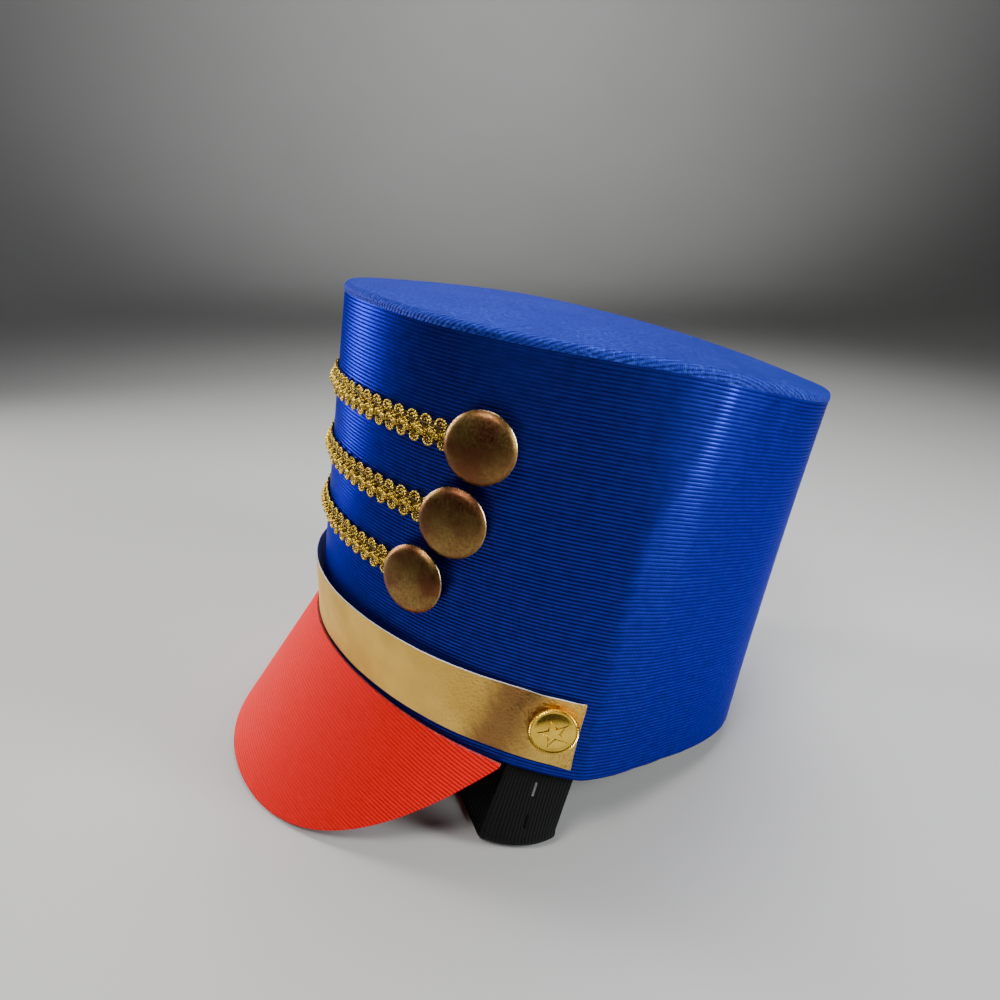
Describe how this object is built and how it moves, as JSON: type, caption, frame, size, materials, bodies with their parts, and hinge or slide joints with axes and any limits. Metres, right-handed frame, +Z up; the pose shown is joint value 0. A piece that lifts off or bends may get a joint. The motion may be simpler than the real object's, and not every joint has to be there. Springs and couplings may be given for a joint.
{
  "type": "drum major hat",
  "caption": "Drum major hat with a tall ribbed crown, steep visor, gold band and braid, domed buttons and elastic chin strap.",
  "frame": {"origin": "bottom centre of the bounding box, on the surface the hat stands on", "axes": "+Z up, -Y towards the front where the visor is, +X towards the wearer's left"},
  "size_m": [0.196, 0.256, 0.1901],
  "materials": {
    "blue_satin": "ribbed satin",
    "blue_satin_top": "ribbed satin",
    "red_satin": "ribbed satin",
    "gold_foil": "metallised foil, slightly crinkled",
    "gold_braid": "metallic thread",
    "aged_brass": "dark patina",
    "bright_brass": "polished",
    "black_elastic": "matt woven"
  },
  "bodies": {
    "root": {"crown_wall": "blue_satin", "crown_top": "blue_satin_top", "visor": "red_satin", "front_band": "gold_foil", "braid_upper": "gold_braid", "braid_middle": "gold_braid", "braid_lower": "gold_braid", "button_upper_left": "aged_brass", "button_upper_right": "aged_brass", "button_middle_left": "aged_brass", "button_middle_right": "aged_brass", "button_lower_left": "aged_brass", "button_lower_right": "aged_brass", "star_button_left": "bright_brass", "star_button_right": "bright_brass", "chin_strap": "black_elastic"}
  },
  "joints": []
}
